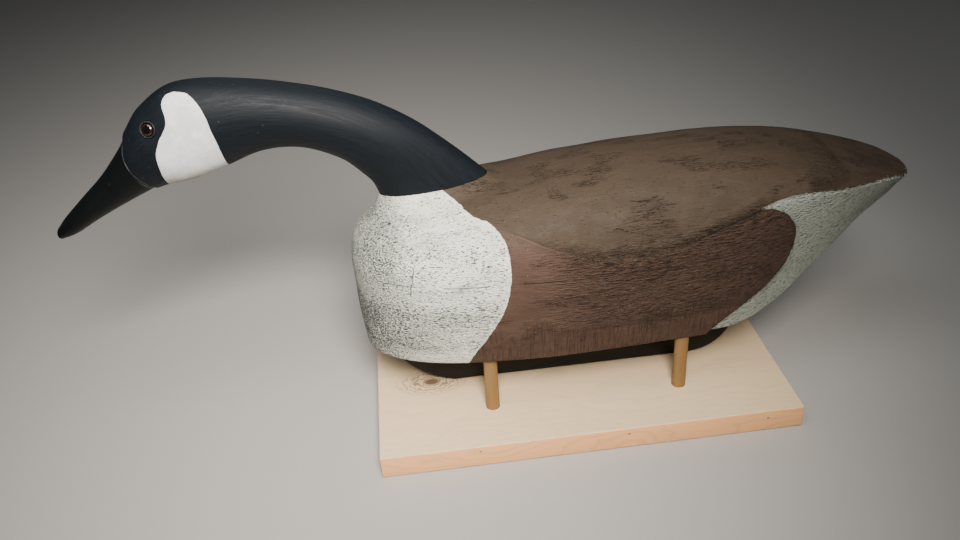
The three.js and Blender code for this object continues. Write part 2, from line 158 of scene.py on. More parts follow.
# Marks in the pine: knots as (x, y, size) and specks on the sawn front as (x, z)
PINE_KNOTS = [(-141, -14, 30), (62, 96, 9)]
PINE_SPECKS = [(-104, 17), (31, 16), (160, 14.5)]


# ---------------- camera, light and floor
def make_camera():
    camera = bpy.data.objects.new("camera", bpy.data.cameras.new("camera"))
    right = Vector(CAMERA_RIGHT).normalized()
    ahead = Vector(CAMERA_AHEAD).normalized()
    turn = Matrix((right, right.cross(ahead), -ahead)).transposed()
    camera.matrix_world = Matrix.Translation(Vector(CAMERA_PLACE)) @ turn.to_4x4()
    camera.data.sensor_width = CAMERA_SENSOR
    camera.data.lens = CAMERA_LENS
    bpy.context.collection.objects.link(camera)
    bpy.context.scene.camera = camera


def make_light(name, place, target, width, height, watts, colour=(1, 1, 1), spread=180):
    lamp = bpy.data.lights.new(name, "AREA")
    lamp.shape = "RECTANGLE"
    lamp.size = width
    lamp.size_y = height
    lamp.energy = watts
    lamp.color = colour
    lamp.spread = math.radians(spread)
    light = bpy.data.objects.new(name, lamp)
    light.location = place
    aim = Vector(target) - Vector(place)
    light.rotation_euler = aim.to_track_quat("-Z", "Y").to_euler()
    bpy.context.collection.objects.link(light)


def make_studio():
    world = bpy.data.worlds.new("studio")
    world.use_nodes = True
    background = world.node_tree.nodes["Background"]
    background.inputs["Color"].default_value = (0.86, 0.9, 0.95, 1)
    background.inputs["Strength"].default_value = 0.08
    bpy.context.scene.world = world
    middle = (-0.05, 0, 0.18)
    make_light("key", (-0.1, -0.74, 0.86), (-0.2, 0, 0.14), 0.34, 0.34, 4.0, (1, 0.94, 0.87), 64)
    make_light("top", (-0.3, -0.38, 1.15), (-0.2, 0, 0.2), 0.8, 0.5, 2.6, (0.95, 0.98, 1), 120)
    make_light("back", (-0.1, 1.1, 1.3), middle, 0.9, 0.9, 2)

    floor_material = Nodes("floor_paint", colour=(0.40, 0.385, 0.36), roughness=0.85)
    half = 4.0
    corners = [(-half, -half, 0), (half, -half, 0), (half, half, 0), (-half, half, 0)]
    floor = new_piece("floor", np.array(corners) / MM, [(0, 1, 2, 3)])
    floor.location.z = -0.0005
    floor.data.materials.append(floor_material.material)


# ---------------- mesh helpers
def new_piece(name, points, faces):
    data = bpy.data.meshes.new(name)
    faces = faces.tolist() if isinstance(faces, np.ndarray) else faces
    data.from_pydata((np.asarray(points, float) * MM).tolist(), [], faces)
    piece = bpy.data.objects.new(name, data)
    bpy.context.collection.objects.link(piece)
    return piece


def face_outwards(piece):
    work = bmesh.new()
    work.from_mesh(piece.data)
    bmesh.ops.recalc_face_normals(work, faces=work.faces)
    if work.calc_volume(signed=True) < 0:
        bmesh.ops.reverse_faces(work, faces=work.faces)
    work.to_mesh(piece.data)
    work.free()
    return piece


def apply_modifiers(piece):
    evaluated = piece.evaluated_get(bpy.context.evaluated_depsgraph_get())
    piece.data = bpy.data.meshes.new_from_object(evaluated)
    piece.modifiers.clear()


def combine(piece, operation, tools):
    """Cuts a piece by the tools, or keeps what is inside them, and drops the tools."""
    for tool in tools:
        modifier = piece.modifiers.new("combine", "BOOLEAN")
        modifier.operation = operation
        modifier.object = tool
        modifier.solver = "MANIFOLD"
    apply_modifiers(piece)
    for tool in tools:
        bpy.data.objects.remove(tool)
    return piece


def smooth(piece, crease=40):
    piece.data.shade_smooth()
    piece.data.set_sharp_from_angle(angle=math.radians(crease))


def ease_edges(piece, radius, segments):
    bevel = piece.modifiers.new("eased_edges", "BEVEL")
    bevel.width = radius * MM
    bevel.segments = segments
    bevel.limit_method = "ANGLE"
    bevel.angle_limit = math.radians(40)
    apply_modifiers(piece)


def block(low, high):
    corners = np.array(list(itertools.product(*zip(low, high))))
    faces = [(0, 1, 3, 2), (4, 6, 7, 5), (0, 4, 5, 1), (2, 3, 7, 6), (0, 2, 6, 4), (1, 5, 7, 3)]
    return face_outwards(new_piece("block", corners, faces))


def lathe(name, profile, sides=64):
    """Turns a profile of (radius, z) points round Z; it starts and ends on the axis or closes."""
    radius, height = np.array(profile, float).T
    angle = 2 * np.pi * np.arange(sides) / sides
    points = np.stack([np.outer(radius, np.cos(angle)), np.outer(radius, np.sin(angle)),
                       np.repeat(height[:, None], sides, 1)], -1).reshape(-1, 3)
    piece = new_piece(name, points, ring_faces(len(profile), sides))
    work = bmesh.new()
    work.from_mesh(piece.data)
    bmesh.ops.remove_doubles(work, verts=work.verts, dist=1e-6)
    bmesh.ops.dissolve_degenerate(work, edges=work.edges, dist=1e-7)
    work.to_mesh(piece.data)
    work.free()
    return face_outwards(piece)


def ring_faces(rings, sides):
    ring, side = np.meshgrid(np.arange(rings - 1), np.arange(sides), indexing="ij")
    a = ring * sides + side
    b = ring * sides + (side + 1) % sides
    return np.stack([a, b, b + sides, a + sides], -1).reshape(-1, 4)


def capped_faces(rings, sides):
    faces = ring_faces(rings, sides).tolist()
    return faces + [list(range(sides)), list(range((rings - 1) * sides, rings * sides))]


def outward_normals(grid, left_side):
    """Normals of a skin made of rings; left_side is a place in a ring on the +Y side."""
    ahead = np.gradient(grid, axis=0)
    round_ring = np.roll(grid, -1, 1) - np.roll(grid, 1, 1)
    normal = np.cross(round_ring, ahead)
    normal /= np.maximum(np.linalg.norm(normal, axis=2, keepdims=True), 1e-9)
    outward = np.sign(normal[len(grid) // 2, left_side, 1])
    return outward * normal.reshape(-1, 3)


def post(radius, z0, z1, place=(0, 0), sides=48):
    piece = lathe("post", [(0, z0), (radius, z0), (radius, z1), (0, z1)], sides)
    piece.data.transform(Matrix.Translation((place[0] * MM, place[1] * MM, 0)))
    return piece


def node_box(node):
    """Lowest and highest corners of a CAD node, in millimetres."""
    low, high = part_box(node)
    return np.array(low) / MM, np.array(high) / MM


def node_middle(node):
    low, high = node_box(node)
    return (low + high) / 2


def hole_round(node, top=None):
    """An upright round cutter that leaves a gap all round a CAD pin or dowel."""
    low, high = node_box(node)
    top = high[2] + CLEARANCE if top is None else top
    radius = (high[0] - low[0]) / 2 + CLEARANCE
    return post(radius, low[2] - CLEARANCE, top, node_middle(node)[:2])


def node_places(prefix):
    return sorted(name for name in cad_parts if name.startswith(prefix))


# ---------------- shape helpers
def along(x, table):
    """Smooth curve through (x, value) pairs that never overshoots them."""
    at, value = np.array(table, float).T
    secant = np.diff(value) / np.diff(at)
    product = secant[:-1] * secant[1:]
    total = np.where(product > 0, secant[:-1] + secant[1:], 1)
    slope = np.concatenate([secant[:1], np.where(product > 0, 2 * product / total, 0), secant[-1:]])
    x = np.clip(x, at[0], at[-1])
    i = np.clip(np.searchsorted(at, x, side="right") - 1, 0, len(at) - 2)
    step = at[i + 1] - at[i]
    t = (x - at[i]) / step
    h = t * t * (3 - 2 * t)
    return (value[i] * (1 - h) + value[i + 1] * h
            + slope[i] * step * t * (1 - t) ** 2 - slope[i + 1] * step * t * t * (1 - t))


def ease(value, low=0.0, high=1.0):
    t = np.clip((value - low) / (high - low), 0, 1)
    return t * t * (3 - 2 * t)


def spline(points, u):
    """Catmull-Rom curve through points, with u from 0 to 1."""
    points = np.array(points, float)
    padded = np.vstack([2 * points[0] - points[1], points, 2 * points[-1] - points[-2]])
    place = np.clip(np.asarray(u, float), 0, 1) * (len(points) - 1)
    i = np.minimum(place.astype(int), len(points) - 2)
    t = (place - i)[:, None]
    p0, p1, p2, p3 = (padded[i + k] for k in range(4))
    m1 = (p2 - p0) / 2
    m2 = (p3 - p1) / 2
    return ((2 * t**3 - 3 * t**2 + 1) * p1 + (t**3 - 2 * t**2 + t) * m1
            + (3 * t**2 - 2 * t**3) * p2 + (t**3 - t**2) * m2)


def smooth_line(points, per_span=7):
    return spline(points, np.linspace(0, 1, per_span * (len(points) - 1) + 1)).tolist()


def signed_distance(x, z, outline):
    """Distance in side view to a closed outline, positive inside it."""
    start = np.array(outline, float)
    end = np.roll(start, -1, 0)
    nearest = np.full(x.shape, 1e9)
    inside = np.zeros(x.shape, bool)
    for (x0, z0), (x1, z1) in zip(start, end):
        span = (x1 - x0) ** 2 + (z1 - z0) ** 2
        if span == 0:
            continue
        t = np.clip(((x - x0) * (x1 - x0) + (z - z0) * (z1 - z0)) / span, 0, 1)
        gap = (x - x0 - t * (x1 - x0)) ** 2 + (z - z0 - t * (z1 - z0)) ** 2
        nearest = np.minimum(nearest, gap)
        if z0 != z1:
            crossing = ((z0 > z) != (z1 > z)) & (x < x0 + (z - z0) * (x1 - x0) / (z1 - z0))
            inside ^= crossing
    return np.where(inside, 1, -1) * np.sqrt(nearest)


def lattice_noise(points, size, seed):
    """Smooth noise from -1 to 1, in lumps of the given size along x, y and z."""
    place = points / np.array(size, float) + 1000.5
    cell = np.floor(place).astype(np.int64)
    part = place - cell
    part = part * part * (3 - 2 * part)
    total = np.zeros(len(points))
    for corner in itertools.product((0, 1), repeat=3):
        i, j, k = (cell + corner).T
        mixed = (i * 73856093) ^ (j * 19349663) ^ (k * 83492791) ^ (seed * 2654435761)
        mixed = ((mixed ^ (mixed >> 13)) * 1274126177) & 0xFFFFFFFF
        value = ((mixed ^ (mixed >> 16)) & 0xFFFF) / 32767.5 - 1
        weight = np.prod(np.where(corner, part, 1 - part), axis=1)
        total += value * weight
    return total


def point_places(piece):
    places = np.empty(len(piece.data.vertices) * 3)
    piece.data.vertices.foreach_get("co", places)
    return places.reshape(-1, 3) / MM


def add_outline_fields(piece, **outlines):
    """Stores how far each vertex lies inside some outlines, in side view."""
    x, y, z = point_places(piece).T
    for name, outline in outlines.items():
        add_field(piece, name, signed_distance(x, z, outline))


def add_field(piece, name, values):
    """Stores one number, or one vector, at each vertex for the materials to read."""
    kind = "FLOAT_VECTOR" if values.ndim == 2 else "FLOAT"
    field = piece.data.attributes.new(name, kind, "POINT")
    field.data.foreach_set("vector" if values.ndim == 2 else "value", values.astype(float).ravel())


# ---------------- body
def breast_scale(t):
    return (1 - t**BREAST_POWER) ** (1 / BREAST_POWER)


def rear_scale(t):
    return (1 - t**1.6) ** 0.32


def even_stations(length, scale):
    """Stations t from 0 to almost 1, evenly spaced along one half of the plan outline."""
    t = 0.99999 * np.sin(np.linspace(0, np.pi / 2, 6000))
    x = length * t
    y = BODY_HALF_WIDTH * scale(t)
    run = np.concatenate([[0], np.cumsum(np.hypot(np.diff(x), np.diff(y)))])
    count = int(run[-1] / SKIN_STEP)
    return np.interp(np.linspace(0, run[-1], count), run, t)


def half_sections(low, x, half, floor_half, floor_z, widest_z, deck_z, roundness):
    """Rows of points from the middle of the floor, up one side, to the middle of the back."""
    height = widest_z - floor_z
    edge = np.minimum(EDGE_RADIUS, np.minimum(0.3 * height, 0.5 * floor_half))

    def side(s):
        y = floor_half + (half - floor_half) * (1 - (1 - s) ** roundness)
        return low + (x - low) * (1 - (1 - s) ** 2), y, floor_z + height * s

    across = np.linspace(0, 1, 24)[None]
    flat = (low + 0 * across, (floor_half - edge) * across, floor_z + 0 * across)
    b = np.linspace(0, 1, 7)[None, 1:-1]
    foot = side(edge / height)
    knee = (low, floor_half, floor_z)
    bend = [(1 - b) ** 2 * p0 + 2 * b * (1 - b) * p1 + b**2 * p2
            for p0, p1, p2 in zip((low, floor_half - edge, floor_z), knee, foot)]
    s = edge / height + (1 - edge / height) * np.linspace(0, 1, 56)[None]
    wall = side(s)
    a = np.linspace(0, np.pi / 2, 96)[None, 1:]
    deck = (x + 0 * a, half * np.abs(np.cos(a)) ** (2 / DECK_POWER),
            widest_z + (deck_z - widest_z) * np.sin(a) ** (2 / DECK_POWER))
    parts = [np.stack(np.broadcast_arrays(*part), -1) for part in (flat, bend, wall, deck)]
    return np.concatenate(parts, axis=1)


def body_half_sections():
    t = even_stations(BREAST_LENGTH, breast_scale)[:0:-1, None]
    scale = breast_scale(t)
    x = BODY_MID_X - BREAST_LENGTH * t
    breast = half_sections(
        low=BODY_MID_X - BREAST_LENGTH_LOW * t, x=x, half=BODY_HALF_WIDTH * scale,
        floor_half=BODY_HALF_WIDTH * FLOOR_RATIO[0][1] * scale, floor_z=UNDERSIDE_Z + 0 * t,
        widest_z=WIDEST_Z + 0 * t,
        deck_z=WIDEST_Z + (along(x, DECK_LINE) - WIDEST_Z) * scale**BREAST_TOP_POWER, roundness=2)
    t = even_stations(REAR_LENGTH, rear_scale)[:, None]
    x = BODY_MID_X + REAR_LENGTH * t
    half = BODY_HALF_WIDTH * rear_scale(t)
    rear = half_sections(
        low=x, x=x, half=half, floor_half=half * along(x, FLOOR_RATIO),
        floor_z=along(x, FLOOR_LINE), widest_z=along(x, WIDEST_LINE),
        deck_z=along(x, DECK_LINE),
        roundness=2 - np.clip((x - TAIL_FLARE_FROM) / TAIL_FLARE_OVER, 0, 1))
    return np.concatenate([breast, rear])


def seat_z(x):
    slope = (SEAT_HEEL[1] - SEAT_FRONT[1]) / (SEAT_HEEL[0] - SEAT_FRONT[0])
    return SEAT_FRONT[1] + slope * (x - SEAT_FRONT[0])


SEAT_X = (SEAT_FRONT[0] + SEAT_HEEL[0]) / 2
SEAT_TILT = -math.atan2(SEAT_HEEL[1] - SEAT_FRONT[1], SEAT_HEEL[0] - SEAT_FRONT[0])


def raise_to_seat(points):
    """Lifts the back to the flat seat of the neck, and eases off around it."""
    x, y, z = points.T
    u = np.abs(x - SEAT_X) / ((SEAT_HEEL[0] - SEAT_FRONT[0]) / 2)
    v = np.abs(y) / SEAT_HALF_WIDTH
    scale = np.maximum((u**SEAT_POWER + v**SEAT_POWER) ** (1 / SEAT_POWER), 1)
    outside = np.hypot(x - SEAT_X, y) * (1 - 1 / scale)
    blend = np.where(z > WIDEST_Z, (1 - np.clip(outside / SEAT_FAIRING, 0, 1)) ** 2, 0)
    return np.stack([x, y, z + (seat_z(x) - z) * blend], -1), blend


FLANK_OUTLINE = (smooth_line(WING_LINE) + smooth_line(FLANK_LOBE)[1:]
                 + [(110, 40), (-260, 40), (-260, 212)])
STERN_OUTLINE = (smooth_line(FLANK_LOBE)[::-1] + smooth_line(TAIL_EDGE)[1:]
                 + [(400, 205.5), (400, 40), (110, 40)])
BREAST_OUTLINE = smooth_line(BREAST_EDGE) + [(-108, 40), (-400, 40), (-400, 300), (-114, 300)]


def body_relief(points):
    """How far the carved surface stands out from the plain form."""
    x, y, z = points.T
    flank = signed_distance(x, z, FLANK_OUTLINE)
    stern = signed_distance(x, z, STERN_OUTLINE)
    ledge = LEDGE_HEIGHT * ease(x, -78, -30) * (1 - 0.5 * ease(x, 60, 130))
    inside = ease(flank, -0.9, 0.9)
    height = ledge * inside * np.exp(-np.maximum(flank, 0) / 40)
    height -= 0.8 * ledge * (1 - inside) * np.exp(-np.maximum(-flank, 0) / 20)
    height -= TAIL_DROP * ease(stern, -0.9, 0.9) * np.exp(-np.maximum(stern, 0) / 40)
    facets = 0.45 * lattice_noise(points, (34, 20, 20), 3)
    grain = 0.16 * lattice_noise(points, (13, 4.5, 4.5), 5)
    rough = ease(lattice_noise(points, (60, 35, 35), 9), -0.2, 0.6)
    grain += 0.16 * rough * lattice_noise(points, (8, 3.2, 3.2), 7)
    flat_floor = ease(z, UNDERSIDE_Z, UNDERSIDE_Z + 6)
    return height + (facets + grain) * flat_floor


def body_skin():
    """The whole outside of the body as one closed mesh."""
    half = body_half_sections()
    grid = np.concatenate([half, half[:, -2:0:-1] * (1, -1, 1)], axis=1)
    rings, sides = grid.shape[:2]
    seated, foot = raise_to_seat(grid.reshape(-1, 3))
    height = body_relief(grid.reshape(-1, 3)) * (1 - foot)
    points = seated + outward_normals(grid, half.shape[1] // 2) * height[:, None]

    last = half.shape[1] - 1
    near = np.arange(last)
    mirror = (sides - np.arange(last + 1)) % sides
    strip = np.stack([near, near + 1, mirror[near + 1], mirror[near]], -1)
    faces = ring_faces(rings, sides).tolist()
    for start in (0, (rings - 1) * sides):
        faces += [list(dict.fromkeys(quad)) for quad in (strip + start).tolist()]
    return face_outwards(new_piece("skin", points, faces))


def hollow():
    """The space inside the body, lower under the neck's seat than under the back."""
    count = 24
    sides = 32
    middle = (CAVITY_FRONT_X + CAVITY_REAR_X) / 2
    reach = (CAVITY_REAR_X - CAVITY_FRONT_X) / 2
    u = (-0.995 * np.cos(np.pi * np.arange(count + 1) / count))[:, None]
    x = middle + reach * u
    round_end = (1 - np.abs(u) ** 3) ** (1 / 3)
    outer = np.where(x < BODY_MID_X,
                     breast_scale(np.clip((BODY_MID_X - x) / BREAST_LENGTH, 0, 1)),
                     rear_scale(np.clip((x - BODY_MID_X) / REAR_LENGTH, 0, 1)))
    half = (BODY_HALF_WIDTH * outer - WALL) * round_end
    rise = ease(x, *ROOF_RISE_X)
    roof = ROOF_UNDER_NECK_Z + (along(x, DECK_LINE) - DECK - ROOF_UNDER_NECK_Z) * rise
    floor = along(x, FLOOR_LINE) + FLOOR
    angle = (2 * np.pi * (np.arange(sides) + 0.5) / sides)[None]
    out, up = (np.sign(part) * np.abs(part) ** 0.6 for part in (np.cos(angle), np.sin(angle)))
    y = half * out
    z = (roof + floor) / 2 + (roof - floor) / 2 * np.maximum(round_end, 0.35) * up
    points = np.stack([x + 0 * y, y, z], -1).reshape(-1, 3)
    return face_outwards(new_piece("hollow", points, capped_faces(count + 1, sides)))


def onto_seat(piece):
    """Carries a piece made along +Z onto the tilted seat of the neck."""
    place = Matrix.Translation((SEAT_X * MM, 0, seat_z(SEAT_X) * MM))
    piece.data.transform(place @ Matrix.Rotation(SEAT_TILT, 4, "Y"))
    return piece


def bolt_hole():
    low, high = node_box("neck_bolt")
    return onto_seat(post((high[1] - low[1]) / 2 + CLEARANCE, *BOLT_HOLE))


def make_body():
    pins = node_places("body_pin_")
    screws = node_places("keel_screw_")
    finish = painted_body_material()
    upper = body_skin()
    upper.name = "painted_body_upper"
    lower = upper.copy()
    lower.data = upper.data.copy()
    lower.name = "painted_body_lower"
    bpy.context.collection.objects.link(lower)
    combine(upper, "INTERSECT", [block((-FAR, -FAR, SEAM_Z), (FAR, FAR, FAR))])
    combine(lower, "INTERSECT", [block((-FAR, -FAR, 0), (FAR, FAR, SEAM_Z))])
    nut_pocket = onto_seat(post(NUT_POCKET_DIAMETER / 2, BOLT_HOLE[0], -NUT_FACE))
    screw_holes = [post(SCREW_HOLE_RADIUS, 20, node_box(screw)[1][2] + 1, node_middle(screw)[:2], 24)
                   for screw in screws]
    for piece, node, own_cuts in ((upper, "body_upper", [bolt_hole(), nut_pocket]),
                                  (lower, "body_lower", screw_holes)):
        combine(piece, "DIFFERENCE", [hollow(), *map(hole_round, pins), *own_cuts])
        smooth(piece, 50)
        add_outline_fields(piece, breast=BREAST_OUTLINE, stern=STERN_OUTLINE, flank=FLANK_OUTLINE)
        finish_piece(piece, finish, "decoy", "painted_body", node)


def finish_piece(piece, material, body, slot, *nodes):
    piece.data.materials.clear()
    piece.data.materials.append(material)
    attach(piece, body)
    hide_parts(*nodes)


# ---------------- head and neck
def neck_lines():
    """Top line, bottom line and half width at even steps from bill to seat."""
    fine = np.linspace(0, 1, 3000)
    top = spline([(*top, half) for top, bottom, half in NECK], fine)
    bottom = spline([(*bottom, half) for top, bottom, half in NECK], fine)
    middle = (top + bottom)[:, :2] / 2
    run = np.concatenate([[0], np.cumsum(np.linalg.norm(np.diff(middle, axis=0), axis=1))])
    at = np.linspace(0, run[-1], int(run[-1] / NECK_STEP))
    return [np.stack([np.interp(at, run, line[:, k]) for k in range(3)], -1)
            for line in (top, bottom)]


def unbend(points, top, bottom):
    """Places along the neck, across it and above its middle line, as if it were straight."""
    middle = (top + bottom)[:, :2] / 2
    ahead = np.gradient(middle, axis=0)
    ahead /= np.linalg.norm(ahead, axis=1, keepdims=True)
    above = np.stack([-ahead[:, 1], ahead[:, 0]], -1)
    flat = points[:, (0, 2)]
    sample = slice(None, None, 4)
    nearest = np.empty(len(points), int)
    for part in np.array_split(np.arange(len(points)), 40):
        gap = ((flat[part, None] - middle[None, sample]) ** 2).sum(-1)
        nearest[part] = gap.argmin(1) * 4
    offset = flat - middle[nearest]
    run = nearest * NECK_STEP + (offset * ahead[nearest]).sum(1)
    return np.stack([run, points[:, 1], (offset * above[nearest]).sum(1)], -1)


CHEEK_OUTLINE = smooth_line(CHEEK_FRONT) + smooth_line(CHEEK_REAR)[::-1][:-1]
BILL_OUTLINE = smooth_line(BILL_BASE) + [(-346, 150), (-600, 150), (-600, 400), (-368, 400)]


def neck_relief(points):
    x, y, z = points.T
    bill = signed_distance(x, z, BILL_OUTLINE)
    height = -BILL_GROOVE * np.exp(-(bill / 1.1) ** 2)
    height -= BILL_STEP * ease(bill, -0.4, 1.2) * np.exp(-np.maximum(bill, 0) / 22)
    eye_gap = np.hypot(x - EYE_PLACE[0], z - EYE_PLACE[2])
    height -= EYE_HOLLOW * np.exp(-(eye_gap / 11) ** 2) * (np.abs(y) > 5)
    height += 0.22 * lattice_noise(points, (30, 16, 16), 21) * ease(x, -350, -300)
    return height


def eye_turn(side):
    tilt = Matrix.Rotation(side * -(math.pi / 2 - math.radians(EYE_TILT)), 4, "X")
    return Matrix.Rotation(side * math.radians(EYE_TOE), 4, "Z") @ tilt


def eye_centre(side):
    return Vector((EYE_PLACE[0], side * EYE_PLACE[1], EYE_PLACE[2]))


def onto_eye(piece, side):
    piece.data.transform(Matrix.Translation(eye_centre(side) * MM) @ eye_turn(side))
    return piece


def neck_skin(top, bottom):
    """The neck, head and bill as rings from the rounded bill tip to below the seat."""
    angle = 2 * np.pi * np.arange(NECK_SIDES) / NECK_SIDES
    middle = ((top + bottom) / 2)[:, None, :]
    reach = ((top - bottom) / 2)[:, None, :]
    flat = middle + reach * np.cos(angle)[None, :, None]
    grid = np.stack([flat[..., 0], top[:, 2:] * np.sin(angle)[None], flat[..., 1]], -1)

    tip_middle = grid[0].mean(0)
    forward = tip_middle - grid[4].mean(0)
    forward /= np.linalg.norm(forward)
    turns = np.linspace(math.pi / 2, 0, 9)[:-1]
    nose = [tip_middle + (grid[0] - tip_middle) * math.cos(turn) ** 0.7
            + forward * BILL_TIP_ROUNDING * math.sin(turn) for turn in turns]
    grid = np.concatenate([np.array(nose), grid])

    points = grid.reshape(-1, 3)
    height = neck_relief(points)[:, None]
    points = points + outward_normals(grid, NECK_SIDES // 4) * height
    faces = capped_faces(len(grid), NECK_SIDES)
    return face_outwards(new_piece("painted_head_and_neck", points, faces))


def make_head():
    top, bottom = neck_lines()
    head = neck_skin(top, bottom)
    bpy.context.view_layer.update()
    tools = [onto_seat(block((-FAR, -FAR, -FAR), (FAR, FAR, CLEARANCE))), bolt_hole()]
    for side in (-1, 1):
        tools.append(onto_eye(post(EYE_RING_DIAMETER / 2 + CLEARANCE, -2.4, 12), side))
        tools.append(onto_eye(post(EYE_DIAMETER / 2 + CLEARANCE, -6, 0), side))
    combine(head, "DIFFERENCE", tools)
    smooth(head, 50)
    add_outline_fields(head, cheek=CHEEK_OUTLINE, bill=BILL_OUTLINE)
    add_field(head, "unbent", unbend(point_places(head), top, bottom))
    finish_piece(head, painted_neck_material(), "head", "painted_neck", "head_and_neck")


def make_eyes():
    radius = EYE_DIAMETER / 2
    inner = radius + CLEARANCE
    outer = EYE_RING_DIAMETER / 2
    dome = [(radius * math.cos(a), -0.6 + 2.4 * math.sin(a))
            for a in np.linspace(0, math.pi / 2, 15)]
    eye_profile = [(0, -5.5), (radius - 0.4, -5.5), (radius, -5.1)] + dome
    roll = [((inner + outer) / 2 - (outer - inner) / 2 * math.cos(a),
             -0.75 + 0.95 * math.sin(a)) for a in np.linspace(0, math.pi, 15)]
    ring_profile = [(inner, -2.1)] + roll + [(outer, -2.1), (inner, -2.1)]
    kinds = ((eye_profile, "glass_eye", glass_eye_material(), "glass_eye", "eye"),
             (ring_profile, "putty_ring", eye_putty_material(), "eye_putty", "eye_putty"))
    for side, name in ((-1, "left"), (1, "right")):
        axis = np.array(eye_turn(side).to_3x3() @ Vector((0, 0, 1)))
        for profile, piece_name, finish, slot, node in kinds:
            piece = onto_eye(lathe(f"{piece_name}_{name}", profile), side)
            smooth(piece, 50)
            offset = point_places(piece) - np.array(eye_centre(side))
            out = offset - np.outer(offset @ axis, axis)
            add_field(piece, "radius", np.linalg.norm(out, axis=1))
            finish_piece(piece, finish, "head", slot, f"{node}_{name}")


# ---------------- keel
def curve_through(start, control, end, steps=24):
    t = np.linspace(0, 1, steps)[:, None]
    start, control, end = (np.array(p, float) for p in (start, control, end))
    return ((1 - t) ** 2 * start + 2 * t * (1 - t) * control + t**2 * end).tolist()


def make_keel():
    low, high = node_box("keel")
    front, rear = low[0], high[0]
    bottom, top = low[2], high[2]
    outline = curve_through((front, top), (front + 10, bottom + 16), (front + 60, bottom))
    outline += curve_through((rear - 47, bottom), (rear - 4, bottom + 4), (rear, top))
    count = len(outline)
    points = [(x, y, z) for y in (low[1], high[1]) for x, z in outline]
    faces = [list(range(count)), list(range(count, 2 * count))]
    faces += [(i, (i + 1) % count, count + (i + 1) % count, count + i) for i in range(count)]
    keel = face_outwards(new_piece("painted_keel", points, faces))
    ease_edges(keel, KEEL_EDGE_RADIUS, 4)
    ballast_low, ballast_high = node_box("keel_ballast")
    tools = [block(ballast_low - CLEARANCE, (*(ballast_high + CLEARANCE)[:2], top + 10))]
    for screw in node_places("keel_screw_"):
        screw_low, screw_high = node_box(screw)
        place = node_middle(screw)[:2]
        tools.append(post(SCREW_HOLE_RADIUS, bottom + 1, screw_high[2] + 1, place, 24))
        tools.append(post(SCREW_RECESS / 2, 0, screw_low[2] + SCREW_HEAD_HEIGHT, place, 32))
    combine(keel, "DIFFERENCE", tools)
    smooth(keel, 35)
    finish_piece(keel, painted_keel_material(), "decoy", "painted_keel", "keel")


# ---------------- stand
def chip_cutter(front_y, top_z):
    """What a sliver left when it split off the front top edge, deeper towards one end."""
    clear = 5
    corners = []
    for x, depth in zip(CHIP_X, (0.1, CHIP_SIZE + 0.1)):
        corners += [(x, front_y - clear, top_z - CHIP_SIZE), (x, front_y - clear, top_z + clear),
                    (x, front_y + depth, top_z + clear), (x, front_y + depth, top_z - 0.3)]
    sides = [(0, 1, 2, 3), (7, 6, 5, 4), (0, 4, 5, 1), (1, 5, 6, 2), (2, 6, 7, 3), (3, 7, 4, 0)]
    return face_outwards(new_piece("chip", corners, sides))


def dowel_profile(radius, height):
    side = [(radius + DOWEL_WAVER * math.sin(7 * h / height), h)
            for h in np.linspace(DOWEL_CHAMFER, height - DOWEL_CHAMFER, 24)]
    end = radius - DOWEL_CHAMFER
    return [(0, 0), (end, 0)] + side + [(end, height), (0, height)]


def make_stand():
    low, high = node_box("stand_board")
    dowels = node_places("stand_dowel_")
    board = block(low, high)
    board.name = "pine_board"
    ease_edges(board, BOARD_EDGE_RADIUS, 3)
    sockets = [hole_round(dowel, high[2] + 5) for dowel in dowels]
    combine(board, "DIFFERENCE", sockets + [chip_cutter(low[1], high[2])])
    smooth(board, 35)
    finish_piece(board, pine_material(), "stand", "pine_board", "stand_board")

    birch = birch_material()
    for dowel in dowels:
        low, high = node_box(dowel)
        profile = dowel_profile((high[0] - low[0]) / 2, high[2] - low[2])
        piece = lathe(dowel.replace("stand_dowel", "birch_dowel"), profile)
        foot = Vector((*node_middle(dowel)[:2], low[2]))
        piece.data.transform(Matrix.Translation(foot * MM))
        smooth(piece, 35)
        finish_piece(piece, birch, "stand", "birch_dowel", dowel)


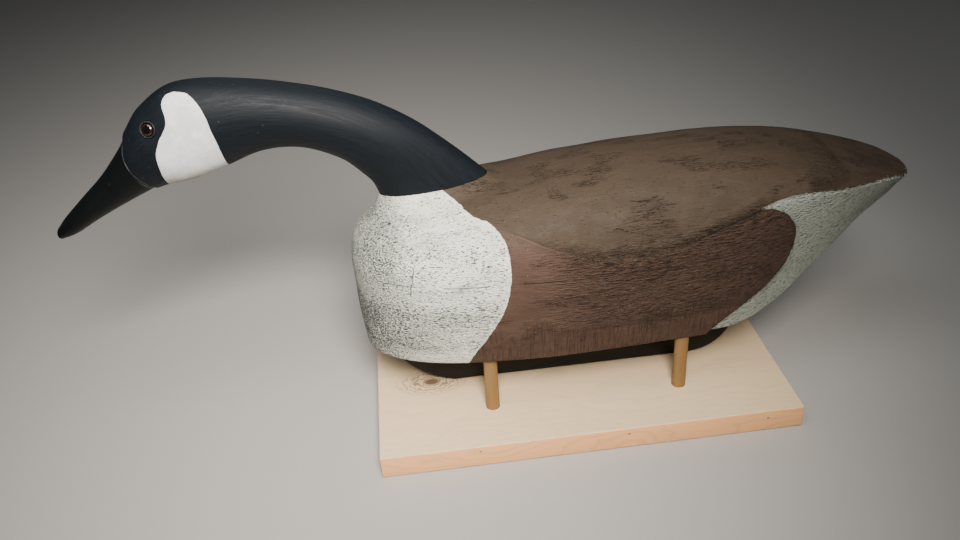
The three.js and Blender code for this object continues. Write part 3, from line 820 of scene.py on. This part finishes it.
# ---------------- materials
class Nodes:
    """One material's node tree, built by short calls. Sizes are in millimetres."""

    def __init__(self, name, colour=(0.5, 0.5, 0.5), roughness=0.5, metallic=0.0, coat=0.0,
                 specular=0.5):
        self.material = bpy.data.materials.new(name)
        self.material.use_nodes = True
        self.tree = self.material.node_tree
        self.shader = self.tree.nodes["Principled BSDF"]
        settings = {"Base Color": (*colour, 1), "Roughness": roughness, "Metallic": metallic,
                    "Coat Weight": coat, "Specular IOR Level": specular}
        for socket, value in settings.items():
            self.shader.inputs[socket].default_value = value
        self.place = self.add("ShaderNodeTexCoord").outputs["Object"]

    def add(self, kind, **settings):
        node = self.tree.nodes.new(kind)
        for key, value in settings.items():
            setattr(node, key, value)
        return node

    def feed(self, socket, value):
        if isinstance(value, bpy.types.NodeSocket):
            self.tree.links.new(value, socket)
        elif value is not None:
            socket.default_value = value

    def math(self, operation, *values):
        node = self.add("ShaderNodeMath", operation=operation)
        for socket, value in zip(node.inputs, values):
            self.feed(socket, value)
        return node.outputs[0]

    def chain(self, operation, values):
        return functools.reduce(lambda first, second: self.math(operation, first, second), values)

    def total(self, *values):
        return self.chain("ADD", values)

    def times(self, *values):
        return self.chain("MULTIPLY", values)

    def largest(self, *values):
        return self.chain("MAXIMUM", values)

    def less(self, first, second):
        return self.math("SUBTRACT", first, second)

    def gap(self, first, second):
        return self.math("ABSOLUTE", self.less(first, second))

    def distance(self, first, second):
        """Length of a step of first one way and second across it."""
        squares = self.total(self.math("POWER", first, 2), self.math("POWER", second, 2))
        return self.math("SQRT", squares)

    def field(self, name, output="Fac"):
        return self.add("ShaderNodeAttribute", attribute_name=name).outputs[output]

    def axis(self, which):
        split = self.add("ShaderNodeSeparateXYZ")
        self.feed(split.inputs[0], self.place)
        return self.times(split.outputs[which], 1000)

    def noise(self, size, detail=2.0, rough=0.5, place=None, unit=1000.0, shift=0.0):
        """Noise in lumps of the given size along the three axes."""
        scaled = self.add("ShaderNodeVectorMath", operation="MULTIPLY_ADD")
        self.feed(scaled.inputs[0], place or self.place)
        scaled.inputs[1].default_value = [unit / s for s in size]
        scaled.inputs[2].default_value = (shift, 2 * shift, 3 * shift)
        node = self.add("ShaderNodeTexNoise")
        self.feed(node.inputs["Vector"], scaled.outputs[0])
        node.inputs["Scale"].default_value = 1.0
        node.inputs["Detail"].default_value = detail
        node.inputs["Roughness"].default_value = rough
        return node.outputs["Fac"]

    def ramp(self, value, low, high, to_low=0.0, to_high=1.0):
        node = self.add("ShaderNodeMapRange", interpolation_type="SMOOTHSTEP")
        for socket, given in zip(node.inputs, (value, low, high, to_low, to_high)):
            self.feed(socket, given)
        return node.outputs["Result"]

    def mix(self, factor, first, second):
        node = self.add("ShaderNodeMix", data_type="RGBA")
        self.feed(node.inputs["Factor"], factor)
        for socket, colour in zip(node.inputs[6:8], (first, second)):
            self.feed(socket, (*colour, 1) if isinstance(colour, tuple) else colour)
        return node.outputs[2]

    def coats(self, colour, *coats):
        """Lays coats of (amount, colour) over a colour, one after another."""
        for amount, coat in coats:
            colour = self.mix(amount, colour, coat)
        return colour

    def blend_values(self, factor, first, second):
        return self.math("MULTIPLY_ADD", factor, self.less(second, first), first)

    def finish(self, colour=None, roughness=None, height=None):
        """Links colour, roughness and a bump height in millimetres to the shader."""
        self.feed(self.shader.inputs["Base Color"], colour)
        self.feed(self.shader.inputs["Roughness"], roughness)
        if height is not None:
            bump = self.add("ShaderNodeBump")
            bump.inputs["Strength"].default_value = 1.0
            bump.inputs["Distance"].default_value = MM
            self.feed(bump.inputs["Height"], height)
            self.tree.links.new(bump.outputs["Normal"], self.shader.inputs["Normal"])
        return self.material


def find_white(n):
    """The breast and the stern, with a wavering edge that is ragged under the tail."""
    wobble = n.ramp(n.noise((9, 7, 7), 2, 0.5), 0.3, 0.7, -0.35, 0.35)
    ragged = n.times(n.ramp(n.noise((4, 2.2, 2.2), 3, 0.7), 0.3, 0.7, -1.1, 1.1),
                     n.ramp(n.x, 160, 200, 0.15, 1.0), n.ramp(n.z, 190, 205, 0.3, 1.0))
    n.breast = n.total(n.field("breast"), wobble)
    n.is_breast = n.ramp(n.breast, -0.25, 0.25)
    n.is_stern = n.ramp(n.total(n.field("stern"), ragged), -0.25, 0.25)
    n.white = n.largest(n.is_breast, n.is_stern)


def find_torn_grain(n):
    """Torn grain stands in short crests, most of all on the rear of the flank."""
    scattered = n.ramp(n.noise((60, 34, 34), 2, 0.5, shift=11), 0.48, 0.74, 0.0, 0.16)
    rear_patch = n.times(n.ramp(n.gap(n.x, 210), 28, 12), n.ramp(n.z, 215, 221),
                         n.ramp(n.z, 236, 228), 0.55)
    n.torn = n.largest(scattered, rear_patch)
    n.flank_rear = n.times(n.ramp(n.x, -70, 30), n.ramp(n.z, 108, 122), n.ramp(n.flank, -14, 2))
    n.rasped = n.largest(n.torn, n.flank_rear)
    n.ridges = n.noise((8, 1.7, 1.5), 3, 0.6, shift=12)


def find_pores(n):
    """Open pores, longer along the grain, that crowd on the front and foot of the breast."""
    n.pore_noise = n.noise((3.4, 1.05, 1.0), 2.5, 0.6)
    front = n.ramp(n.x, -135, -186, 0.0, 0.092)
    foot = n.times(n.ramp(n.z, 162, 132), n.ramp(n.z, 90, 106), n.ramp(n.x, -95, -150, 0.022, 0.06))
    n.worn_front = n.total(front, foot)
    crowd = n.total(n.ramp(n.region, 0.35, 0.65, -0.03, 0.015), n.worn_front,
                    n.ramp(n.breast, 16, 5, 0.0, 0.015), n.ramp(n.z, 205, 222, 0.0, -0.03),
                    n.ramp(n.breast, 0.6, 3.0, -0.12, 0.0))
    n.breast_pores = n.ramp(n.total(n.pore_noise, crowd), 0.58, 0.61)
    crowd = n.ramp(n.torn, 0, 0.28, -0.035, -0.027)
    n.brown_pores = n.ramp(n.total(n.pore_noise, crowd), 0.63, 0.68)


def find_cuts(n):
    """Checks along the grain, the mostly filled glue seam, one check across the left of
    the breast, and the saw marks on the lower sides."""
    checks = n.times(
        n.ramp(n.gap(n.noise((26, 1.3, 1.3), 2.5, 0.6, shift=5), 0.5), 0.016, 0.003),
        n.ramp(n.noise((38, 16, 16), 1, 0.5, shift=8), 0.52, 0.64))
    seam = n.times(n.ramp(n.gap(n.z, SEAM_Z), 0.55, 0.2),
                   n.ramp(n.noise((24, 24, 60), 2, 0.6, shift=2), 0.46, 0.54))
    lean = n.math("MULTIPLY_ADD", n.less(n.z, 174), 0.2, -147.5)
    bend = n.ramp(n.noise((6, 6, 6), 2, 0.5, shift=4), 0.3, 0.7, -0.5, 0.5)
    across = n.times(n.ramp(n.gap(n.total(n.x, bend), lean), 0.6, 0.2),
                     n.ramp(n.gap(n.z, 174), 13.5, 11.5), n.ramp(n.y, 0, -5))
    n.cuts = n.times(n.largest(seam, across, checks), n.ramp(n.is_stern, 0, 1, 1.0, 0.15))
    saw_edge = n.total(n.z, n.ramp(n.region, 0.3, 0.7, -10, 10))
    n.saw = n.times(n.ramp(saw_edge, 134, 122), n.noise((1.25, 60, 22), 2.5, 0.6, shift=6),
                    n.less(1, n.white))


def brown_paint(n):
    tone = n.ramp(n.noise((34, 20, 20), 4, 0.6, shift=1), 0.3, 0.7)
    brown = n.mix(n.ramp(n.flank, -2, 6),
                  n.mix(tone, (0.0515, 0.036, 0.0235), (0.0595, 0.0415, 0.0275)),
                  n.mix(tone, (0.070, 0.0405, 0.028), (0.081, 0.0475, 0.033)))
    smoke = n.ramp(n.noise((44, 18, 18), 3, 0.6, shift=14), 0.56, 0.74, 0.0, 0.1)
    # Lighter paint on the crests of the torn grain is partly dry-brushed paint and partly painted
    # highlight; the darker paint in its valleys is painted shade.
    contrast = n.ramp(n.flank_rear, 0, 1, 0.22, 0.8)
    crest = n.times(n.ramp(n.ridges, 0.54, 0.66), n.ramp(n.rasped, 0, 1, 0.2, 1.0), contrast)
    painted_shade_valley = n.times(n.ramp(n.ridges, 0.46, 0.36), n.ramp(n.rasped, 0, 1, 0.1, 1.0), contrast)
    on_wing = n.times(n.ramp(n.x, -80, -50), n.ramp(n.z, 176, 180))
    # Painted highlight: a lighter line along the crest of the ledge at the wing line, where the
    # ledge catches the light.
    painted_highlight_ledge = n.times(n.ramp(n.gap(n.flank, 0.7), 1.1, 0.2), n.ramp(n.x, 150, 60), on_wing,
                         n.ramp(n.region, 0.3, 0.6, 0.05, 0.35))
    # Painted shadow: a darker band on the back just above the ledge.
    painted_shadow_above_ledge = n.times(n.ramp(n.flank, -5, -0.8), n.ramp(n.flank, 0.3, -0.5), on_wing,
                          n.ramp(n.x, 160, 130, 0.0, 0.28), n.ramp(n.x, 20, 90, 0.3, 1.0))
    # Painted shadow: a thin dark line just above the flank's edge, along the rear part of the wing
    # line.
    painted_shadow_line_rear = n.times(n.ramp(n.gap(n.flank, 0), 0.6, 0.2), n.ramp(n.x, 80, 108),
                        n.ramp(n.x, 152, 147), on_wing, 0.7)
    dust = n.ramp(n.noise((1.1, 1.1, 1.1), 1, 0.4, shift=9), 0.79, 0.83, 0.0, 0.55)
    return n.coats(
        brown, (smoke, (0.030, 0.022, 0.016)), (crest, (0.125, 0.074, 0.050)),
        (painted_shade_valley, (0.018, 0.010, 0.007)),
        (n.times(n.brown_pores, 0.35), (0.026, 0.017, 0.012)),
        (n.ramp(n.saw, 0.5, 0.6, 0.0, 0.6), (0.032, 0.018, 0.014)),
        (painted_highlight_ledge, (0.14, 0.088, 0.062)), (painted_shadow_above_ledge, (0.024, 0.017, 0.012)),
        (painted_shadow_line_rear, (0.010, 0.007, 0.006)), (n.times(n.cuts, 0.85), (0.012, 0.008, 0.007)),
        (dust, (0.40, 0.36, 0.32)))


def white_paint(n):
    """White over a dark ground; on the stern it is rougher and greyed as painted shade."""
    chalk = n.ramp(n.noise((22, 14, 14), 4, 0.6, shift=7), 0.3, 0.7)
    n.stucco = n.noise((4.4, 2.0, 2.0), 3, 0.62, shift=15)
    stern_pores = n.ramp(n.less(1, n.stucco), 0.54, 0.66)
    return n.coats(
        n.mix(chalk, (0.64, 0.66, 0.57), (0.78, 0.79, 0.69)),
        (n.times(n.breast_pores, n.is_breast, 0.9), (0.035, 0.042, 0.044)),
        # Painted shade: the white of the stern is greyed.
        (n.times(n.is_stern, 0.7), (0.29, 0.33, 0.28)),
        (n.times(stern_pores, n.is_stern, 0.6), (0.06, 0.066, 0.06)),
        (n.times(n.cuts, 0.9), (0.06, 0.065, 0.07)))


def body_paint_height(n):
    """Height of the surface in millimetres."""
    brush = n.noise((9, 0.6, 0.6), 2, 0.5, shift=13)
    crests = n.times(n.ridges, n.ramp(n.rasped, 0, 1, 0.5, 8.0), n.ramp(n.white, 0, 1, 1.0, 0.5))
    lumps = n.noise((4.5, 2.3, 2.3), 2.5, 0.6, shift=17)
    breast = n.times(n.less(lumps, n.pore_noise), n.is_breast,
                     n.ramp(n.worn_front, 0.0, 0.06, 1.6, 5.5))
    pores = n.blend_values(n.is_breast, n.brown_pores, n.breast_pores)
    return n.total(crests, breast, n.times(brush, 0.16), n.times(n.stucco, n.is_stern, 10.5),
                   n.times(pores, -0.5), n.times(n.cuts, -0.5), n.times(n.saw, 1.9),
                   n.times(n.is_breast, 0.12))


def painted_body_material():
    """Paint and worn grain of the carved body, made in steps that share their masks."""
    n = Nodes("goose_body_paint", specular=0.2)
    n.x, n.y, n.z = (n.axis(which) for which in range(3))
    n.flank = n.field("flank")
    n.region = n.noise((50, 34, 34), 2, 0.5, shift=3)
    find_white(n)
    find_torn_grain(n)
    find_pores(n)
    find_cuts(n)
    colour = n.mix(n.white, brown_paint(n), white_paint(n))
    rough = n.ramp(n.noise((16, 9, 9), 3, 0.6, shift=16), 0.3, 0.7, 0.58, 0.76)
    return n.finish(colour, rough, body_paint_height(n))


def painted_neck_material():
    n = Nodes("goose_neck_paint", specular=0.19)
    z = n.axis(2)
    unbent = n.field("unbent", "Vector")
    bill = n.field("bill")
    wobble = n.ramp(n.noise((8, 8, 8), 2, 0.5), 0.3, 0.7, -0.2, 0.2)
    cheek = n.ramp(n.total(n.field("cheek"), wobble), -0.2, 0.2)
    streaks = n.noise((34, 0.62, 0.62), 3, 0.6, place=unbent, unit=1.0)
    bands = n.noise((60, 3.2, 3.2), 2, 0.5, place=unbent, unit=1.0, shift=3)
    is_bill = n.ramp(bill, -0.5, 0.8)
    # The pale line along the bill groove, doubled lower down, is partly rubbed paint and partly a
    # painted highlight of the groove; it is brighter towards the bottom.
    second_groove = n.times(n.ramp(n.gap(bill, 2.4), 0.7, 0.2), n.ramp(z, 270, 258, 0.0, 0.6))
    groove_wear_and_highlight = n.times(n.largest(n.ramp(n.gap(bill, 0), 1.4, 0.4), second_groove),
                   n.ramp(n.noise((9, 9, 9), 3, 0.6, shift=4), 0.34, 0.62, 0.3, 0.85),
                   n.ramp(z, 305, 266, 0.12, 0.9))
    speck = n.ramp(n.noise((1.3, 1.3, 1.3), 1, 0.4, shift=9), 0.80, 0.83, 0.0, 0.5)
    black = n.coats(n.mix(streaks, (0.0022, 0.0036, 0.0052), (0.0075, 0.0105, 0.0145)),
                    (is_bill, (0.0020, 0.0030, 0.0030)), (groove_wear_and_highlight, (0.17, 0.18, 0.185)),
                    (speck, (0.30, 0.31, 0.32)))
    cloud = n.ramp(n.noise((18, 18, 18), 3, 0.6, shift=6), 0.35, 0.65)
    throat = n.ramp(z, 278, 257)
    faint = n.times(n.ramp(streaks, 0.50, 0.66), n.ramp(throat, 0, 1, 0.2, 0.7))
    white = n.coats(n.mix(cloud, (0.60, 0.62, 0.64), (0.76, 0.77, 0.78)),
                    (n.times(throat, 0.85), (0.40, 0.35, 0.24)), (faint, (0.36, 0.37, 0.34)))
    rough = n.total(n.ramp(bands, 0.3, 0.7, 0.50, 0.62), n.ramp(streaks, 0.3, 0.7, -0.07, 0.07))
    height = n.total(n.times(streaks, 0.16), n.times(bands, 0.08), n.times(cheek, 0.10))
    return n.finish(n.mix(cheek, black, white), n.blend_values(is_bill, rough, 0.5), height)


def painted_keel_material():
    n = Nodes("keel_black_paint", specular=0.2)
    tone = n.noise((40, 8, 8), 4, 0.6)
    scuff = n.ramp(n.noise((14, 5, 5), 4, 0.7, shift=4), 0.68, 0.76, 0.0, 0.4)
    colour = n.coats(n.mix(tone, (0.002, 0.0024, 0.003), (0.006, 0.007, 0.008)),
                     (scuff, (0.04, 0.038, 0.034)))
    grain = n.noise((30, 1.2, 1.2), 3, 0.6, shift=2)
    return n.finish(colour, n.ramp(tone, 0.3, 0.7, 0.42, 0.6), n.times(grain, 0.25))


def near_spot(n, along_grain, across_grain, spot):
    """Distance from a spot on the board, in ovals that are longer along the grain."""
    return n.distance(n.times(n.less(along_grain, spot[0]), 0.6), n.less(across_grain, spot[1]))


def pine_knots(n, x, y):
    """How far the knots push the growth rings aside, and their own dark marks."""
    wavy = n.ramp(n.noise((7, 7, 7), 2, 0.5, shift=12), 0.3, 0.7, -1.6, 1.6)
    pulls = []
    marks = []
    for *spot, size in PINE_KNOTS:
        near = near_spot(n, x, y, spot)
        turn = n.math("FRACT", n.math("DIVIDE", n.total(near, wavy), 0.12 * size))
        rings = n.times(n.ramp(n.gap(turn, 0.5), 0.30, 0.08),
                        n.ramp(near, 0.85 * size, 0.3 * size), 0.75)
        pulls.append(n.ramp(near, 2.2 * size, 0.3 * size, 0.0, 0.9 * size))
        marks.append(n.largest(n.ramp(near, 0.2 * size, 0.1 * size), rings))
    return n.total(*pulls), n.largest(*marks)


def pine_material():
    n = Nodes("bare_pine")
    x, y, z = (n.axis(which) for which in range(3))
    pull, knots = pine_knots(n, x, y)
    # growth rings round a pith that lies below the board and wanders along it
    drift = n.ramp(n.noise((150, 60, 60), 3, 0.55), 0.25, 0.75, -16, 16)
    ripple = n.ramp(n.noise((40, 12, 12), 2, 0.5, shift=3), 0.2, 0.8, -2, 2)
    radius = n.total(n.distance(n.total(y, 35, drift), n.total(z, 55)), pull, ripple)
    ring = n.math("FRACT", n.math("DIVIDE", radius, 6.5))
    late = n.times(n.ramp(ring, 0.55, 0.93), n.ramp(ring, 1.0, 0.95))
    fibre = n.noise((24, 0.7, 0.7), 3, 0.6, shift=1)
    pitch = n.ramp(n.noise((9, 2.2, 2.2), 2, 0.5, shift=6), 0.74, 0.78, 0.0, 0.6)
    planed = n.coats(n.mix(fibre, (0.70, 0.51, 0.30), (0.79, 0.61, 0.39)),
                     (n.times(late, 0.16), (0.56, 0.40, 0.235)),
                     (n.times(knots, 0.9), (0.115, 0.06, 0.025)), (pitch, (0.24, 0.13, 0.07)))
    # sawn sides are darker and rougher than the planed faces
    normal = n.add("ShaderNodeSeparateXYZ")
    n.feed(normal.inputs[0], n.add("ShaderNodeTexCoord").outputs["Normal"])
    is_sawn = n.ramp(n.gap(normal.outputs[2], 0), 0.75, 0.4)
    specks = [(n.ramp(near_spot(n, x, z, spot), 1.1, 0.5, 0.0, 0.8), (0.06, 0.032, 0.018))
              for spot in PINE_SPECKS]
    sawn = n.coats(n.mix(fibre, (0.78, 0.375, 0.15), (0.92, 0.50, 0.23)),
                   (n.times(late, 0.22), (0.40, 0.22, 0.10)), (pitch, (0.10, 0.055, 0.03)), *specks)
    marks = n.noise((1.6, 40, 12), 2, 0.5, shift=9)
    height = n.total(n.times(fibre, 0.12), n.times(marks, is_sawn, 0.3), n.times(late, 0.05))
    return n.finish(n.mix(is_sawn, planed, sawn), n.ramp(fibre, 0.3, 0.7, 0.55, 0.72), height)


def birch_material():
    n = Nodes("bare_birch")
    fibre = n.noise((0.7, 0.7, 30), 3, 0.6)
    band = n.noise((6, 6, 60), 2, 0.5, shift=2)
    pores = n.ramp(n.noise((0.5, 0.5, 5), 2, 0.6, shift=5), 0.66, 0.72, 0.0, 0.4)
    colour = n.coats(n.mix(fibre, (0.185, 0.092, 0.026), (0.26, 0.145, 0.047)),
                     (n.ramp(band, 0.45, 0.7, 0.0, 0.35), (0.30, 0.19, 0.09)),
                     (pores, (0.22, 0.13, 0.07)))
    return n.finish(colour, n.ramp(fibre, 0.3, 0.7, 0.45, 0.6), n.times(fibre, 0.14))


def glass_eye_material():
    n = Nodes("glass_eye", roughness=0.06, coat=1.0)
    n.shader.inputs["Coat Roughness"].default_value = 0.03
    radius = n.field("radius")
    flecks = n.noise((0.5, 0.5, 0.5), 3, 0.6)
    iris = n.mix(flecks, (0.012, 0.0035, 0.002), (0.040, 0.011, 0.006))
    pupil = n.ramp(radius, 3.5, 3.2)
    rim = n.ramp(radius, 4.3, 4.8)
    colour = n.coats(iris, (pupil, (0.002, 0.002, 0.002)), (rim, (0.006, 0.004, 0.004)))
    return n.finish(colour, None, n.times(n.noise((3, 3, 3), 1, 0.4), 0.01))


def eye_putty_material():
    n = Nodes("eye_putty_paint", specular=0.25)
    radius = n.field("radius")
    crest = n.ramp(n.gap(radius, 6.2), 0.45, 0.15)
    dots = n.ramp(n.noise((1.1, 1.1, 1.1), 2, 0.6, shift=2), 0.46, 0.6)
    tone = n.mix(n.noise((4, 4, 4), 3, 0.6), (0.006, 0.008, 0.009), (0.014, 0.016, 0.018))
    colour = n.coats(tone, (n.times(crest, dots, 0.4), (0.06, 0.063, 0.06)))
    return n.finish(colour, n.ramp(dots, 0, 1, 0.42, 0.6), n.times(dots, 0.12))


def metal_material(name, dark, light, low_rough, high_rough, stain):
    n = Nodes(name, metallic=1.0)
    cloud = n.noise((5, 5, 5), 4, 0.6)
    spots = n.ramp(n.noise((2.5, 2.5, 2.5), 3, 0.65, shift=3), 0.6, 0.7, 0.0, 0.7)
    colour = n.coats(n.mix(cloud, dark, light), (spots, stain))
    turned = n.noise((3, 3, 0.25), 2, 0.5, shift=5)
    return n.finish(colour, n.ramp(cloud, 0.3, 0.7, low_rough, high_rough),
                    n.times(turned, 0.04))


def hardwood_material():
    n = Nodes("hardwood_pin")
    fibre = n.noise((0.6, 0.6, 18), 3, 0.6)
    colour = n.mix(fibre, (0.34, 0.20, 0.10), (0.50, 0.33, 0.18))
    return n.finish(colour, n.ramp(fibre, 0.3, 0.7, 0.5, 0.65), n.times(fibre, 0.12))


def dress_inner_parts():
    steel = metal_material("plain_steel", (0.32, 0.33, 0.35), (0.52, 0.53, 0.55), 0.28, 0.42,
                           (0.20, 0.13, 0.08))
    brass = metal_material("aged_brass", (0.42, 0.27, 0.10), (0.62, 0.43, 0.18), 0.28, 0.45,
                           (0.12, 0.09, 0.05))
    lead = metal_material("cast_lead", (0.16, 0.17, 0.18), (0.27, 0.28, 0.30), 0.45, 0.65,
                          (0.34, 0.34, 0.33))
    hardwood = hardwood_material()
    finishes = {"neck_": steel, "keel_screw": brass, "keel_ballast": lead, "body_pin": hardwood}
    for name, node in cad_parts.items():
        for prefix, material in finishes.items():
            if name.startswith(prefix):
                for spot in node.material_slots:
                    spot.material = material


# ---------------- the model
make_camera()
make_studio()
make_stand()
make_body()
make_keel()
make_head()
make_eyes()
dress_inner_parts()
